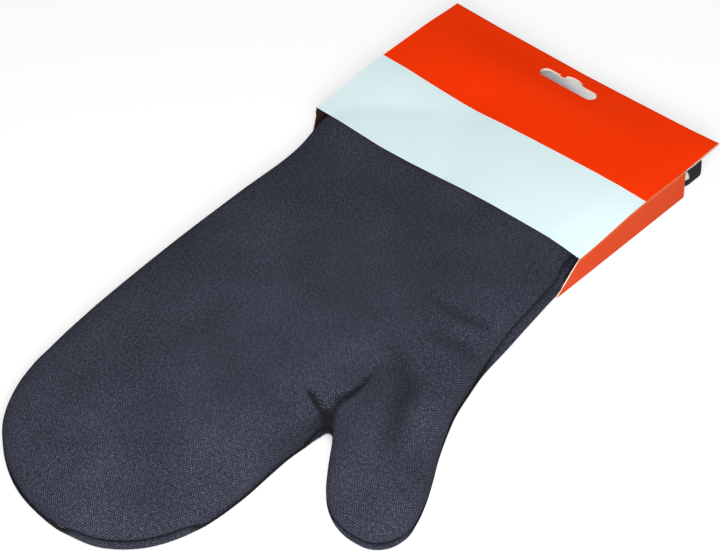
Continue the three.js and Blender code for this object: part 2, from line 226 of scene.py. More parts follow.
def spline(points, pitch):
    """Centripetal Catmull-Rom curve through points, sampled evenly."""
    points = np.array(points, float)
    ends = np.vstack([2 * points[0] - points[1], points, 2 * points[-1] - points[-2]])
    fine = []
    for a, b, c, d in zip(ends[:-3], ends[1:-2], ends[2:-1], ends[3:]):
        t1 = np.linalg.norm(b - a) ** 0.5
        t2 = t1 + np.linalg.norm(c - b) ** 0.5
        t3 = t2 + np.linalg.norm(d - c) ** 0.5
        t = np.linspace(t1, t2, 24, endpoint=False)[:, None]
        ab = (t1 - t) / t1 * a + t / t1 * b
        bc = (t2 - t) / (t2 - t1) * b + (t - t1) / (t2 - t1) * c
        cd = (t3 - t) / (t3 - t2) * c + (t - t2) / (t3 - t2) * d
        abc = (t2 - t) / t2 * ab + t / t2 * bc
        bcd = (t3 - t) / (t3 - t1) * bc + (t - t1) / (t3 - t1) * cd
        fine.append((t2 - t) / (t2 - t1) * abc + (t - t1) / (t2 - t1) * bcd)
    fine = np.vstack(fine + [points[-1:]])
    steps = np.concatenate([[0], np.cumsum(np.linalg.norm(np.diff(fine, axis=0), axis=1))])
    count = int(round(steps[-1] / pitch)) + 1
    even = np.linspace(0, steps[-1], count)
    return np.stack([np.interp(even, steps, fine[:, k]) for k in range(points.shape[1])], 1)


# Camera at the photograph's angle, aimed at a place on the table
def camera():
    azimuth, elevation = math.radians(41.694), math.radians(42.526)
    distance = 1624.79
    target = Vector((3.39, 40.86, 0))
    back = Vector((
        math.sin(azimuth) * math.cos(elevation),
        -math.cos(azimuth) * math.cos(elevation),
        math.sin(elevation),
    ))
    data = bpy.data.cameras.new("camera")
    data.sensor_width = 36
    data.lens = 191.15
    made = bpy.data.objects.new("camera", data)
    made.location = (target + back * distance) * MM
    made.rotation_euler = (math.pi / 2 - elevation, 0, azimuth)
    bpy.context.scene.collection.objects.link(made)
    bpy.context.scene.camera = made


camera()


# Form of the stuffed mitt
def thumb_distance(x, y):
    """How far a place lies beyond the thumb's flex line."""
    return (x - crotch[0]) * thumb_normal[0] + (y - crotch[1]) * thumb_normal[1]


def thumb_share(x, y):
    """0 in the hand and the fingers, 1 in the thumb."""
    in_fingers = (1 - smoothstep(x, *fingers_side)) * smoothstep(-y, *fingers_start)
    return smoothstep(thumb_distance(x, y), *thumb_change) * (1 - in_fingers)


def along_mitt(y, middle, cuff, tip):
    """A value that changes from the hand's middle towards the cuff and towards the fingertips."""
    return middle + (cuff - middle) * smoothstep(y, *cuff_taper) + (tip - middle) * smoothstep(-y, *tip_taper)


def seam_at(x, y):
    share = thumb_share(x, y) * smoothstep(thumb_distance(x, y), *thumb_seam_change)
    return seam_height + (thumb_seam_height - seam_height) * share


def crown(face, x, y):
    """Height of a face over or under the seam at its fullest."""
    if face == "back":
        return seam_at(x, y) - cuff_lift * smoothstep(y, *cuff_lift_change)
    share = thumb_share(x, y)
    pressed = cuff_pressing * np.exp(-((x - pressing_middle) / pressing_width) ** 2)
    pressed = pressed * smoothstep(y, *pressing_change)
    hand = along_mitt(y, palm_crown, cuff_crown, tip_crown) - pressed
    return hand * (1 - share) + thumb_crown * share


def wadding_at(face, x, y):
    """Thickness of a face's wadding."""
    share = thumb_share(x, y)
    full, tip = (palm_wadding, palm_tip_wadding) if face == "palm" else (back_wadding, back_wadding)
    return along_mitt(y, full, cuff_wadding, tip) * (1 - share) + thumb_wadding * share


def edge_reach(face, x, y):
    share = thumb_share(x, y)
    hand = palm_edge_reach if face == "palm" else back_edge_reach
    thumb = thumb_edge_reach if face == "palm" else back_edge_reach
    return hand * (1 - share) + thumb * share


def rise_share(inward, reach):
    """Share of the crown that the padding reaches at a distance in from the side."""
    u = np.clip(inward / reach, 0, 1)
    return (1 - (1 - u) ** edge_flatness) ** edge_power


def inward_at(share, reach):
    """The distance in from the side at which the padding reaches a share of the crown."""
    return reach * (1 - (1 - share ** (1 / edge_power)) ** (1 / edge_flatness))


def seam_inset(x, y):
    """How far the seam lies in from the side: most where the back panel wraps up beside the wrist."""
    wrapped = smoothstep(y, *wrap_along) * smoothstep(x, *wrap_across)
    wrapped = wrapped * (1 - wrap_easing * smoothstep(y, *wrap_eases_along))
    return seam_inset_all_round + seam_inset_at_wrist * wrapped


def edge_drop(x, y):
    """How far the seam sinks towards the table."""
    drop = seam_sunk_share * seam_at(x, y) * (1 - smoothstep(y, *seam_sunk_until))
    for place, near, far in seam_in_sight:
        drop = drop * smoothstep(distance_to(place, x, y), near, far)
    return drop


def crease_depth(x, y, spread=1.0):
    """Depth of all creases together at each place, and the least distance to a sharp one."""
    total = np.zeros(len(x))
    nearest = np.full(len(x), 1e9)
    here = np.stack([x, y], 1)
    for points, depths, own_width in creases:
        sharp = own_width < sharp_width
        width = own_width * spread if sharp else own_width
        line = spline([(*p, d) for p, d in zip(points, depths)], crease_pitch)
        line[:, 2] = np.maximum(line[:, 2], 0)
        tree = nearest_tree(line[:, :2])
        low = line[:, :2].min(0) - crease_reach * width
        high = line[:, :2].max(0) + crease_reach * width
        for i in np.flatnonzero(np.all((here > low) & (here < high), axis=1)):
            _, k, distance = tree.find((here[i, 0], here[i, 1], 0))
            depth = line[k, 2]
            q = distance / width
            total[i] += depth * (math.exp(-q * q) - lip_share * math.exp(-q * q / lip_spread))
            if sharp:
                shallow = max(0, full_crease_depth - depth) * shallow_offset
                nearest[i] = min(nearest[i], distance + shallow)
    return total, nearest


# Nets of points over the two faces
def inside_polygon(points, polygon):
    x, y = points[:, 0], points[:, 1]
    result = np.zeros(len(points), bool)
    for (x0, y0), (x1, y1) in zip(polygon, np.roll(polygon, -1, axis=0)):
        crosses = (y0 > y) != (y1 > y)
        if crosses.any():
            at = (x1 - x0) * (y - y0) / (y1 - y0 if y1 != y0 else 1e-12) + x0
            result ^= crosses & (x < at)
    return result


# Shape of the nets: height of a triangle against its side, and the room left beside the rings
triangle_height = 0.866
border_room = 0.6

# Spacing of points along the side against the net's, also where it is closest, round the notch
side_sampling = 0.15
side_pitch = 0.8
notch_pitch = 0.24
notch_pitch_change = (3.0, 16.0)


def net_inside(polygon, pitch, refine):
    """An even net of points inside a polygon; refined, it is twice as fine beside sharp creases."""
    fine = pitch / 2 if refine else pitch
    low, high = polygon.min(0), polygon.max(0)
    rows = int((high[1] - low[1]) / (fine * triangle_height)) + 2
    columns = int((high[0] - low[0]) / fine) + 2
    net = []
    coarse = []
    for j in range(rows):
        shift = (j % 2) * fine / 2
        for i in range(columns):
            net.append((low[0] + i * fine + shift, low[1] + j * fine * triangle_height))
            coarse.append(j % 2 == 0 and (i + (j // 2) % 2) % 2 == 0)
    net, coarse = np.array(net), np.array(coarse)
    kept = inside_polygon(net, polygon)
    net, coarse = net[kept], coarse[kept]
    if refine:
        _, nearest = crease_depth(net[:, 0], net[:, 1])
        net = net[coarse | (nearest < refined_reach)]
    border = nearest_tree(polygon)
    clear = [border.find((p[0], p[1], 0))[2] > fine * border_room for p in net]
    return net[np.array(clear)]


# Depth of each cloth surface under the cover's outside, and whether the wadding comes on top of it
cloth_surfaces = {
    "cover outside": (0.0, False),
    "cover inside": (canvas_thickness, False),
    "wadding outside": (skin_depth, False),
    "wadding inside": (skin_depth, True),
    "lining outside": (skin_depth + cloth_gap, True),
    "lining inside": (skin_depth + cloth_gap + lining_thickness, True),
}


def surface_depth(name, wadding):
    depth, under_wadding = cloth_surfaces[name]
    return depth + wadding * under_wadding


class Plan:
    """Net of one face in plan: rings that follow the side, then an even net of triangles."""

    def __init__(self, face, pitch, rings, refine=False):
        self.face = face
        self.rings = np.array(rings)
        self.follow_side(pitch)
        self.reach = edge_reach(face, self.edge[:, 0], self.edge[:, 1])
        self.rings_width = inward_at(self.rings[-1], self.reach)
        border = self.edge + self.normal * self.rings_width[:, None]
        border[[0, -1], 1] = cuff_reach
        across = np.arange(border[-1, 0] - pitch, border[0, 0] + pitch * 0.5, -pitch)
        mouth = np.stack([across, np.full(len(across), cuff_reach)], 1)
        polygon = np.vstack([border, mouth])
        self.join_net(polygon, net_inside(polygon, pitch, refine))

    def follow_side(self, pitch):
        """Points along the side, closer together at the notch, and their directions into the face."""
        edge = spline(outline_points, side_sampling)
        from_notch = distance_to(notch_bend, edge[:, 0], edge[:, 1])
        closeness = notch_pitch + (1 - notch_pitch) * smoothstep(from_notch, *notch_pitch_change)
        share = np.cumsum(side_sampling / (pitch * side_pitch * closeness))
        even = np.linspace(share[0], share[-1], int(share[-1]))
        edge = np.stack([np.interp(even, share, edge[:, k]) for k in (0, 1)], 1)
        run = np.gradient(edge, axis=0)
        run /= np.linalg.norm(run, axis=1)[:, None]
        normal = np.stack([-run[:, 1], run[:, 0]], 1)
        self.side_tree = nearest_tree(edge)
        first, last = np.flatnonzero(edge[:, 1] <= cuff_reach)[[0, -1]]
        self.edge = edge[first:last + 1]
        self.normal = normal[first:last + 1]
        self.edge[[0, -1], 1] = cuff_reach
        self.count = len(self.edge)

    def join_net(self, polygon, net):
        """Makes the faces: those between the rings, and the triangles of the net inside them."""
        points = [Vector(p) for p in np.vstack([polygon, net])]
        result = geometry.delaunay_2d_cdt(points, [], [list(range(len(polygon)))], 1, 1e-4)
        made, triangles, sources = np.array(result[0]), result[2], result[3]
        index = np.full(len(made), -1)
        inner = []
        last_ring = (len(self.rings) - 1) * self.count
        for i, source in enumerate(sources):
            first_source = min(source) if source else len(points)
            if first_source < self.count:
                index[i] = last_ring + first_source
            else:
                index[i] = len(self.rings) * self.count + len(inner)
                inner.append(made[i])
        self.inner = np.array(inner)
        self.inner_distance = np.array([self.side_tree.find((p[0], p[1], 0))[2] for p in self.inner])
        self.faces = []
        for k in range(len(self.rings) - 1):
            for j in range(self.count - 1):
                a = k * self.count + j
                self.faces.append((a, a + 1, a + 1 + self.count, a + self.count))
        for triangle in triangles:
            a, b, c = (index[i] for i in triangle)
            pa, pb, pc = (made[i] for i in triangle)
            turn = (pb[0] - pa[0]) * (pc[1] - pa[1]) - (pb[1] - pa[1]) * (pc[0] - pa[0])
            self.faces.append((a, b, c) if turn > 0 else (a, c, b))

    def surface(self, name):
        """Points of one of the cloth surfaces, over this net."""
        face, edge = self.face, self.edge
        up = 1 if face == "palm" else -1
        foot = cloth_gap / 2
        side = surface_depth(name, side_wadding)
        x, y = edge[:, 0], edge[:, 1]
        seam = seam_at(x, y)
        inset = seam_inset(x, y)
        drop = edge_drop(x, y)
        full = crown(face, x, y) - surface_depth(name, wadding_at(face, x, y))
        width = self.rings_width
        points = []
        for share in self.rings:
            height = foot + share * (full - foot)
            inward = side + inward_at(share, self.reach) * (width - side) / width
            if face == "palm":
                drawn_in = seam_tuck * np.clip(1 - height / seam_tuck_height, 0, 1) ** 2
                tuck = inset * (1 - inward / width) + drawn_in
            else:
                tuck = (inset + seam_tuck) * np.clip(1 - height / back_bulge_height, 0, 1) ** 2
            at = edge + self.normal * (inward + tuck)[:, None]
            at[[0, -1], 1] = cuff_reach
            points.append(np.column_stack([at, seam + up * height - drop * (1 - share) ** 2]))
        x, y = self.inner[:, 0], self.inner[:, 1]
        share = rise_share(self.inner_distance, edge_reach(face, x, y))
        full = crown(face, x, y) - surface_depth(name, wadding_at(face, x, y))
        height = foot + share * (full - foot)
        sunk = edge_drop(x, y) * (1 - share) ** 2
        points.append(np.column_stack([self.inner, seam_at(x, y) + up * height - sunk]))
        return np.vstack(points)

    def weave_map(self, surface):
        """Cloth coordinates in plan, unrolled over the edge, so that threads keep their spacing."""
        count = self.count
        rings = surface[:len(self.rings) * count].reshape(len(self.rings), count, 3)
        steps = np.linalg.norm(np.diff(rings, axis=0), axis=2)
        beyond = np.vstack([np.cumsum(steps[::-1], axis=0)[::-1], np.zeros(count)])
        flat = rings[-1, :, :2] - self.normal * beyond[:, :, None]
        return np.vstack([flat.reshape(-1, 2), surface[len(self.rings) * count:, :2]])


# How strongly shade is painted into the cloth's colour at each kind of place
seam_shade = 1.1
turned_under_shade = 0.4
mouth_shade = 0.95
crease_shade = 1.1
fold_shade = 0.25
notch_shade = 0.75
back_notch_shade = 1.0
finger_side_shade = 0.6

# How far each shade spreads: over the seam, narrower at the wrist; up the side; across and along
seam_shade_height = 1.0
wrist_narrowing = 0.35
wrist_narrowing_change = (20.0, 50.0)
turned_under_heights = (2.5, 9.0)
turned_under_drop = 3.0
mouth_shade_size = (4.0, 5.0)
crease_shade_width = 1.5
fold_full_depth = 3.0
notch_shade_size = (3.4, 3.4)
back_notch_shade_size = (6.0, 6.0)

# The fingers' side that the thumb shades
finger_side = 59.5
finger_side_width = 4.5
finger_side_starts = (40.0, 48.0)
finger_side_ends = (52.0, 84.0)


def shade_depth(points, upward):
    """How deep the cloth lies in shade, up to 1; this shade is painted into its material's colour, which
    darkens there.
    """
    x, y, z = points.T
    drop = edge_drop(x, y)
    line_height = seam_shade_height * (1 - wrist_narrowing * smoothstep(y, *wrist_narrowing_change))
    # Painted shade along the seam's groove, up the side that turns under, and in the card's mouth at the
    # wrist
    shade = seam_shade * np.exp(-((z - seam_at(x, y) + drop) / line_height) ** 2)
    turned_under = (1 - smoothstep(z, *turned_under_heights)) * np.clip(drop / turned_under_drop, 0, 1)
    shade += turned_under_shade * turned_under
    shade += mouth_shade * dimple(x, y, mouth_corner, *mouth_shade_size)
    if upward:
        # Painted shade in the creases and folds, in the notch, and on the fingers' side beside the thumb
        deep, nearest = crease_depth(x, y)
        shade += crease_shade * np.exp(-(nearest / crease_shade_width) ** 2)
        shade += fold_shade * np.clip(deep, 0, fold_full_depth)
        beside_thumb = smoothstep(-y, *finger_side_starts) * (1 - smoothstep(-y, *finger_side_ends))
        shade += finger_side_shade * np.exp(-((x - finger_side) / finger_side_width) ** 2) * beside_thumb
        shade += notch_shade * dimple(x, y, notch, *notch_shade_size)
    else:
        # Painted shade in the back's notch
        shade += back_notch_shade * dimple(x, y, notch, *back_notch_shade_size)
    return np.minimum(shade, 1)


def shell(name, plan, outer, inner):
    """A closed sheet between two surfaces that share one net."""
    count = len(outer)
    upward = plan.face == "palm"
    outside = [tuple(f) if upward else tuple(reversed(f)) for f in plan.faces]
    inside = [tuple(count + i for i in reversed(f)) for f in outside]
    edges = [(a, b) for face in outside for a, b in zip(face, face[1:] + face[:1])]
    known = set(edges)
    border = [(b, a, count + a, count + b) for a, b in edges if (b, a) not in known]
    made = new_mesh(name, np.vstack([outer, inner]), outside + inside + border)
    within = made.data.attributes.new("within", "FLOAT", "POINT")
    within.data.foreach_set("value", np.repeat([0.0, 1.0], count))
    # The painted shade goes on the outer surface only; the inner one gets none
    painted_shade = made.data.attributes.new("painted_shade", "FLOAT", "POINT")
    painted_shade.data.foreach_set("value", np.concatenate([shade_depth(outer, upward), np.zeros(count)]))
    flat = np.vstack([plan.weave_map(outer)] * 2) * MM
    layer = made.data.uv_layers.new(name="weave")
    corners = np.zeros(len(made.data.loops), int)
    made.data.loops.foreach_get("vertex_index", corners)
    layer.data.foreach_set("uv", flat[corners].ravel())
    return made


# Swelling of the stuffed mitt, from a coarse pad under pressure
swell_limit = 2.2
swell_neighbours = 6
pad_voxel = 4.5
pad_wall = 3.0
pad_pitch = 5.0
pad_rings = (0.06, 0.3, 0.6, 0.83)
pad_pressure = 4.0
pad_tension = 12.0
pad_bending = 1.5
pad_frames = 20

# The pad is held this near the side seam, and all over under the card
held_width = 3.5
held_height = 4.0
held_from = 88.0


def simulated_pad():
    """Blows the closed pad up a little with cloth pressure and keeps how each point moved."""
    halves = []
    for face, wall in (("palm", pad_wall), ("back", -pad_wall)):
        plan = Plan(face, pad_pitch, pad_rings)
        surface = plan.surface("cover outside")
        halves.append(shell(f"pad_{face}", plan, surface, surface - [0, 0, wall]))
    pad, other = halves
    only(pad)
    other.select_set(True)
    bpy.ops.object.join()
    remesh = pad.modifiers.new("remesh", "REMESH")
    remesh.mode = "VOXEL"
    remesh.voxel_size = pad_voxel * MM
    bpy.ops.object.modifier_apply(modifier=remesh.name)
    rest = np.array([v.co for v in pad.data.vertices]) / MM
    seam = nearest_tree(spline(outline_points, 1.0))
    held = pad.vertex_groups.new(name="seam")
    for i, p in enumerate(rest):
        from_side = seam.find((p[0], p[1], 0))[2]
        if (from_side < held_width and abs(p[2] - seam_height) < held_height) or p[1] > held_from:
            held.add([i], 1.0, "REPLACE")
    cloth = pad.modifiers.new("cloth", "CLOTH")
    settings = cloth.settings
    settings.use_pressure = True
    settings.uniform_pressure_force = pad_pressure
    settings.vertex_group_mass = held.name
    settings.tension_stiffness = pad_tension
    settings.bending_stiffness = pad_bending
    settings.effector_weights.gravity = 0
    scene = bpy.context.scene
    for step in range(1, pad_frames + 1):
        scene.frame_set(step)
    bpy.ops.object.modifier_apply(modifier=cloth.name)
    scene.frame_set(1)
    moves = np.array([v.co for v in pad.data.vertices]) / MM - rest
    length = np.linalg.norm(moves, axis=1)
    print("pad", len(rest), "vertices, moved", length.mean().round(2), "to", length.max().round(2), "mm")
    moves *= (np.minimum(length, swell_limit) / np.maximum(length, 1e-6))[:, None]
    bpy.data.objects.remove(pad)
    return nearest_tree(rest), moves


pad_field = simulated_pad()


def swelling(points):
    """Moves points as the simulated pad moved nearby."""
    tree, moves = pad_field
    moved = np.array(points)
    for i, p in enumerate(points):
        near = tree.find_n(Vector(p), swell_neighbours)
        weights = np.array([1 / (distance + 1) ** 2 for _, _, distance in near])
        moved[i] += (moves[[k for _, k, _ in near]] * weights[:, None]).sum(0) / weights.sum()
    return moved


# Slow unevenness of the palm: height, width and length of each kind of swell, and its layer of the noise
uneven_swells = [(0.55, 34, 46, 3.1), (0.25, 15, 19, 7.7)]

# Where, on the way to the cuff, the card's grip takes over from the swelling and from the unevenness
swelling_ends = (70.0, 92.0)
unevenness_ends = (70.0, 95.0)
crease_rise_power = 0.7


def unevenness(x, y):
    total = np.zeros(len(x))
    for height, width, length, layer in uneven_swells:
        total += [height * noise.noise((a / width, b / length, layer)) for a, b in zip(x, y)]
    return total


def finished_surface(plan, name, spread):
    """A cloth surface with the swelling, the unevenness and the creases in it."""
    points = plan.surface(name)
    if pad_field:
        free = 1 - smoothstep(points[:, 1], *swelling_ends)
        points += (swelling(points) - points) * free[:, None]
    x, y, z = points.T
    if plan.face == "palm":
        deep, _ = crease_depth(x, y, spread)
        risen = np.clip((z - seam_at(x, y)) / crown("palm", x, y), 0, 1)
        points[:, 2] -= deep * risen ** crease_rise_power
        points[:, 2] += unevenness(x, y) * risen * (1 - smoothstep(y, *unevenness_ends))
    else:
        points[:, 2] = np.maximum(points[:, 2], 0.0)
    return points


def outward(made):
    """Makes all faces of a piece agree, and look outwards where it is closed."""
    only(made)
    bpy.ops.object.mode_set(mode="EDIT")
    bpy.ops.mesh.select_all(action="SELECT")
    bpy.ops.mesh.normals_make_consistent(inside=False)
    bpy.ops.object.mode_set(mode="OBJECT")


# The cut along the thumb's flex line: how far off it faces are split, and where the fingers bound it
cut_half_width = 12.0
cut_ends = -52.0
fingers_bound_x = 62.6
fingers_bound_y = -50.0


def beyond_thumb_line(x, y):
    return (thumb_distance(x, y) > 0) & ((x > fingers_bound_x) | (y > fingers_bound_y))


def split_thumb(made, name):
    """Cuts a piece along the thumb's flex line and makes its thumb a piece of its own."""
    only(made)
    centres = np.array([f.center for f in made.data.polygons]) / MM
    near_line = np.abs(thumb_distance(centres[:, 0], centres[:, 1])) < cut_half_width
    made.data.polygons.foreach_set("select", near_line & (centres[:, 1] > cut_ends))
    bpy.ops.object.mode_set(mode="EDIT")
    bpy.ops.mesh.bisect(
        plane_co=(crotch[0] * MM, crotch[1] * MM, 0), plane_no=(*thumb_normal, 0), threshold=1e-6)
    bpy.ops.mesh.select_all(action="DESELECT")
    bpy.ops.object.mode_set(mode="OBJECT")
    centres = np.array([f.center for f in made.data.polygons]) / MM
    made.data.polygons.foreach_set("select", beyond_thumb_line(centres[:, 0], centres[:, 1]))
    bpy.ops.object.mode_set(mode="EDIT")
    bpy.ops.mesh.separate(type="SELECTED")
    bpy.ops.object.mode_set(mode="OBJECT")
    thumb = [o for o in bpy.context.selected_objects if o != made][0]
    thumb.name = name
    for piece in (made, thumb):
        close_cut(piece)
    return thumb


def close_cut(piece):
    """Bridges the outer and the inner line of a cut, so that the sheet stays closed."""
    only(piece)
    bpy.ops.object.mode_set(mode="EDIT")
    bpy.ops.mesh.select_mode(type="EDGE")
    bpy.ops.mesh.select_all(action="DESELECT")
    bpy.ops.mesh.select_non_manifold(extend=False)
    bpy.ops.object.mode_set(mode="OBJECT")
    within = piece.data.attributes["within"].data
    for edge in piece.data.edges:
        if edge.select:
            a, b = (within[v].value > 0.5 for v in edge.vertices)
            edge.select = a == b
    bpy.ops.object.mode_set(mode="EDIT")
    bpy.ops.mesh.bridge_edge_loops()
    bpy.ops.mesh.select_mode(type="VERT")
    bpy.ops.object.mode_set(mode="OBJECT")
    piece.data.attributes.remove(piece.data.attributes["within"])
    bpy.ops.object.shade_smooth_by_angle(angle=math.radians(50))


# Materials
def colour(value):
    """sRGB hex to the linear colour that a shader socket takes."""
    parts = [int(value[i:i + 2], 16) / 255 for i in (1, 3, 5)]
    linear = [c / 12.92 if c <= 0.04045 else ((c + 0.055) / 1.055) ** 2.4 for c in parts]
    return (*linear, 1)


def add(tree, kind, settings=None, inputs=None):
    """Adds one node with its settings; an input is a value or another node's output."""
    node = tree.nodes.new(kind)
    for name, value in (settings or {}).items():
        setattr(node, name, value)
    for name, value in (inputs or {}).items():
        if isinstance(value, bpy.types.NodeSocket):
            tree.links.new(value, node.inputs[name])
        else:
            node.inputs[name].default_value = value
    return node


def new_material(name):
    made = bpy.data.materials.new(name)
    made.use_nodes = True
    made.node_tree.nodes.clear()
    return made, made.node_tree


def cells(size):
    """Scale of a noise whose cells have a real size in millimetres."""
    return 1 / (size * MM)


# Sockets of a Mix node: its two colours and the mixed one, and its two plain values
first_colour, second_colour, mixed_colour = 6, 7, 2
first_value, second_value = 2, 3

# Threads of the cover: crowns along a row, rows, and how far each row is set over
crown_pitch = 1.136
row_pitch = 0.935
row_shift = 0.435

# Unevenness of the yarn: how far threads wander, thick places, loose fibres, and faded patches
thread_wander = 0.8
wander_size = 5.88
slub_size = 1.316
fibre_size = 0.3846
patch_size = 33.3


def woven(name, size, tones, bump, roughness, sheen):
    """Plain-woven cotton, quite matt: raised threads in slanted rows catch the light, with dark gaps between.

    The pattern follows the cloth's own map. Size is the thread spacing against the cover's. The tones are
    those of the gaps, painted dark as their shade, of the threads, of their crowns, painted light as their
    highlight, and the painted shade of the cloth in creases, under the seam and at the other shaded places.
    Yarn fibres are finer than a pixel, so they are drawn as coarse as they need to show.
    """
    gap, thread, lit, shaded = (colour(tone) for tone in tones)
    made, tree = new_material(name)
    place = add(tree, "ShaderNodeUVMap", {"uv_map": "weave"})
    wander = add(tree, "ShaderNodeTexNoise", None,
                 {"Vector": place.outputs[0], "Scale": cells(wander_size), "Detail": 1})
    centred = add(tree, "ShaderNodeVectorMath", {"operation": "SUBTRACT"},
                  {0: wander.outputs["Color"], 1: (0.5, 0.5, 0.5)})
    drift = add(tree, "ShaderNodeVectorMath", {"operation": "SCALE"},
                {0: centred.outputs[0], "Scale": thread_wander * size * MM})
    bent = add(tree, "ShaderNodeVectorMath", {"operation": "ADD"},
               {0: place.outputs[0], 1: drift.outputs[0]})

    # Three waves across the lattice of threads add up to one crown at each thread
    across, up = 1 / (crown_pitch * size * MM), 1 / (row_pitch * size * MM)
    lean = row_shift / crown_pitch
    height = None
    for x, y, share in ((across, (1 - lean) * up, 0.5), (0, up, 0.5), (across, -lean * up, 0.42)):
        turns = add(tree, "ShaderNodeVectorMath", {"operation": "DOT_PRODUCT"},
                    {0: bent.outputs[0], 1: (x * math.tau, y * math.tau, 0)})
        wave = add(tree, "ShaderNodeMath", {"operation": "COSINE"}, {0: turns.outputs["Value"]})
        sum_so_far = 0.0 if height is None else height.outputs[0]
        height = add(tree, "ShaderNodeMath", {"operation": "MULTIPLY_ADD"},
                     {0: wave.outputs[0], 1: share, 2: sum_so_far})

    slub = add(tree, "ShaderNodeTexNoise", None,
               {"Vector": place.outputs[0], "Scale": cells(slub_size), "Detail": 3, "Roughness": 0.8})
    fibres = add(tree, "ShaderNodeTexNoise", None,
                 {"Vector": place.outputs[0], "Scale": cells(fibre_size), "Detail": 2})
    patches = add(tree, "ShaderNodeTexNoise", None,
                  {"Vector": place.outputs[0], "Scale": cells(patch_size), "Detail": 3})
    level = add(tree, "ShaderNodeMath", {"operation": "MULTIPLY_ADD"},
                {0: height.outputs[0], 1: 0.145, 2: -0.33})
    for node, share in ((slub, 0.85), (fibres, 0.55), (patches, 0.22)):
        level = add(tree, "ShaderNodeMath", {"operation": "MULTIPLY_ADD"},
                    {0: node.outputs[0], 1: share, 2: level.outputs[0]})
    ramp = add(tree, "ShaderNodeValToRGB", None, {0: level.outputs[0]})
    ramp.color_ramp.elements[0].position = 0.25
    ramp.color_ramp.elements[0].color = gap
    ramp.color_ramp.elements[1].position = 0.8
    ramp.color_ramp.elements[1].color = lit
    ramp.color_ramp.elements.new(0.5).color = thread
    # Painted shade: the cloth darkens towards its shaded tone as far as the painted shade attribute says
    painted_shade = add(tree, "ShaderNodeAttribute", {"attribute_name": "painted_shade"})
    shade = add(tree, "ShaderNodeMath", {"operation": "MULTIPLY"}, {0: painted_shade.outputs["Fac"], 1: 0.92})
    tone = add(tree, "ShaderNodeMix", {"data_type": "RGBA"},
               {"Factor": shade.outputs[0], first_colour: ramp.outputs[0], second_colour: shaded})
    relief = add(tree, "ShaderNodeMath", {"operation": "MULTIPLY_ADD"},
                 {0: fibres.outputs[0], 1: 0.8, 2: height.outputs[0]})
    raised = add(tree, "ShaderNodeBump", None,
                 {"Strength": 1, "Distance": bump * MM, "Height": relief.outputs[0]})
    cloth = add(tree, "ShaderNodeBsdfPrincipled", None, {
        "Base Color": tone.outputs[mixed_colour], "Roughness": roughness, "Normal": raised.outputs[0],
        "Sheen Weight": sheen, "Sheen Roughness": 0.5, "Sheen Tint": colour("#9aa4b8"),
        "Specular IOR Level": 0.2,
    })
    add(tree, "ShaderNodeOutputMaterial", None, {"Surface": cloth.outputs[0]})
    return made


def printed_card():
    """Coated folding carton, printed orange with a pale blue-white band: even, smooth, hardly shining."""
    made, tree = new_material("printed coated card")
    place = add(tree, "ShaderNodeTexCoord")
    run = add(tree, "ShaderNodeAttribute", {"attribute_name": "printed"})
    past_boundary = add(tree, "ShaderNodeMath", {"operation": "GREATER_THAN"},
                        {0: run.outputs["Fac"], 1: boundary_start * MM})
    cloud = add(tree, "ShaderNodeTexNoise", None,
                {"Vector": place.outputs["Object"], "Scale": cells(33.3), "Detail": 3})
    ink = add(tree, "ShaderNodeValToRGB", None, {0: cloud.outputs[0]})
    ink.color_ramp.elements[0].color = colour("#ff3400")
    ink.color_ramp.elements[1].color = colour("#ff3c04")
    tone = add(tree, "ShaderNodeMix", {"data_type": "RGBA"}, {
        "Factor": past_boundary.outputs[0], first_colour: colour("#e2f7f9"), second_colour: ink.outputs[0]})
    grain = add(tree, "ShaderNodeTexNoise", None,
                {"Vector": place.outputs["Object"], "Scale": cells(1.111), "Detail": 2})
    raised = add(tree, "ShaderNodeBump", None,
                 {"Strength": 0.3, "Distance": 0.03 * MM, "Height": grain.outputs[0]})
    card = add(tree, "ShaderNodeBsdfPrincipled", None, {
        "Base Color": tone.outputs[mixed_colour], "Roughness": 0.55, "Normal": raised.outputs[0],
        "Specular IOR Level": 0.05,
    })
    add(tree, "ShaderNodeOutputMaterial", None, {"Surface": card.outputs[0]})
    return made


def gusset_card():
    """The same carton on its narrow sides, painted a lighter orange for the light and sheen that fall on them
    from the right, and with a painted highlight along the folds.
    """
    made, tree = new_material("orange coated card")
    place = add(tree, "ShaderNodeTexCoord")
    cloud = add(tree, "ShaderNodeTexNoise", None,
                {"Vector": place.outputs["Object"], "Scale": cells(16.67), "Detail": 3})
    # Lighter than the front's ink: painted light and sheen from the right
    ink = add(tree, "ShaderNodeValToRGB", None, {0: cloud.outputs[0]})
    ink.color_ramp.elements[0].color = colour("#f5502a")
    ink.color_ramp.elements[1].color = colour("#fa6034")
    folded = add(tree, "ShaderNodeAttribute", {"attribute_name": "folded"})
    # Painted highlight along the folds, sharpest right on them
    fold_highlight = add(tree, "ShaderNodeMath", {"operation": "POWER"}, {0: folded.outputs["Fac"], 1: 4.0})
    tone = add(tree, "ShaderNodeMix", {"data_type": "RGBA"}, {
        "Factor": fold_highlight.outputs[0], first_colour: ink.outputs[0], second_colour: colour("#ff9a6c")})
    card = add(tree, "ShaderNodeBsdfPrincipled", None, {
        "Base Color": tone.outputs[mixed_colour], "Roughness": 0.55, "Specular IOR Level": 0.1,
    })
    add(tree, "ShaderNodeOutputMaterial", None, {"Surface": card.outputs[0]})
    return made


